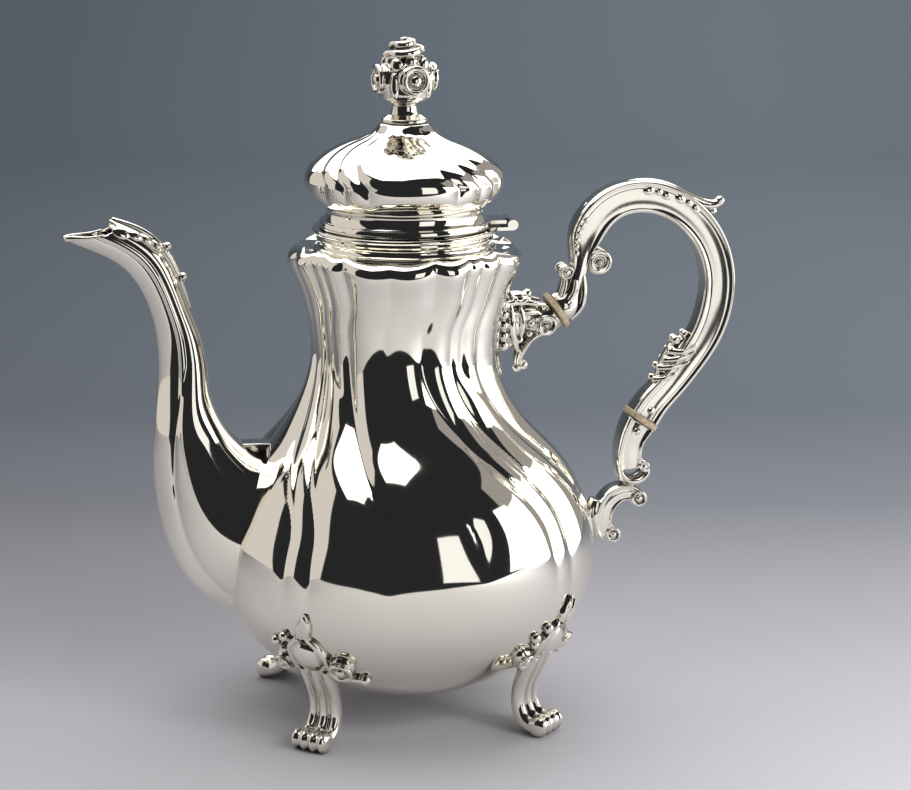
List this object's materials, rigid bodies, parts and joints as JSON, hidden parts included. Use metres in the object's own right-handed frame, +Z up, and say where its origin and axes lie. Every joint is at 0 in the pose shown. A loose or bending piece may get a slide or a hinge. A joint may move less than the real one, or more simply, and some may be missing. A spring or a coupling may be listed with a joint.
{
  "type": "coffee pot",
  "caption": "Silver coffee pot with a swirl-fluted pear body, curved spout, scroll handle on insulating discs, scroll feet and a hinged domed lid with a cast finial.",
  "frame": {"origin": "on the floor, under the axis of the body and lid", "axes": "+Z up along the pot axis, +X towards the handle, -X towards the spout, +Y to the right of someone looking along +X"},
  "size_m": [0.2579, 0.1464, 0.26],
  "materials": {
    "silver": "mirror polished",
    "cast_silver": "polished casting",
    "insulator": "satin, aged ivory colour"
  },
  "bodies": {
    "pot": {"body_base": "silver", "body_belly": "silver", "body_neck": "silver", "neck_collar": "silver", "spout": "silver", "collar_hinge_leaf": "cast_silver", "hinge_pin": "cast_silver", "upper_insulator": "insulator", "lower_insulator": "insulator", "handle_grip": "cast_silver", "upper_socket": "cast_silver", "lower_socket": "cast_silver", "upper_socket_pin": "cast_silver", "upper_grip_pin": "cast_silver", "lower_socket_pin": "cast_silver", "lower_grip_pin": "cast_silver", "foot_front_spout": "cast_silver", "foot_front_handle": "cast_silver", "foot_rear_handle": "cast_silver", "foot_rear_spout": "cast_silver"},
    "lid": {"lid_dome": "silver", "lid_rim": "silver", "lid_bezel": "silver", "finial_plinth": "silver", "finial_knob": "cast_silver", "finial_stud": "cast_silver", "finial_washer": "cast_silver", "finial_nut": "cast_silver", "lid_hinge_leaf": "cast_silver"}
  },
  "joints": [
    {"name": "lid_hinge", "type": "hinge", "parent": "pot", "child": "lid", "pos_m": [0.0404, 0, 0.1889], "axis": [0, 1, 0], "range_deg": [0, 88]}
  ]
}
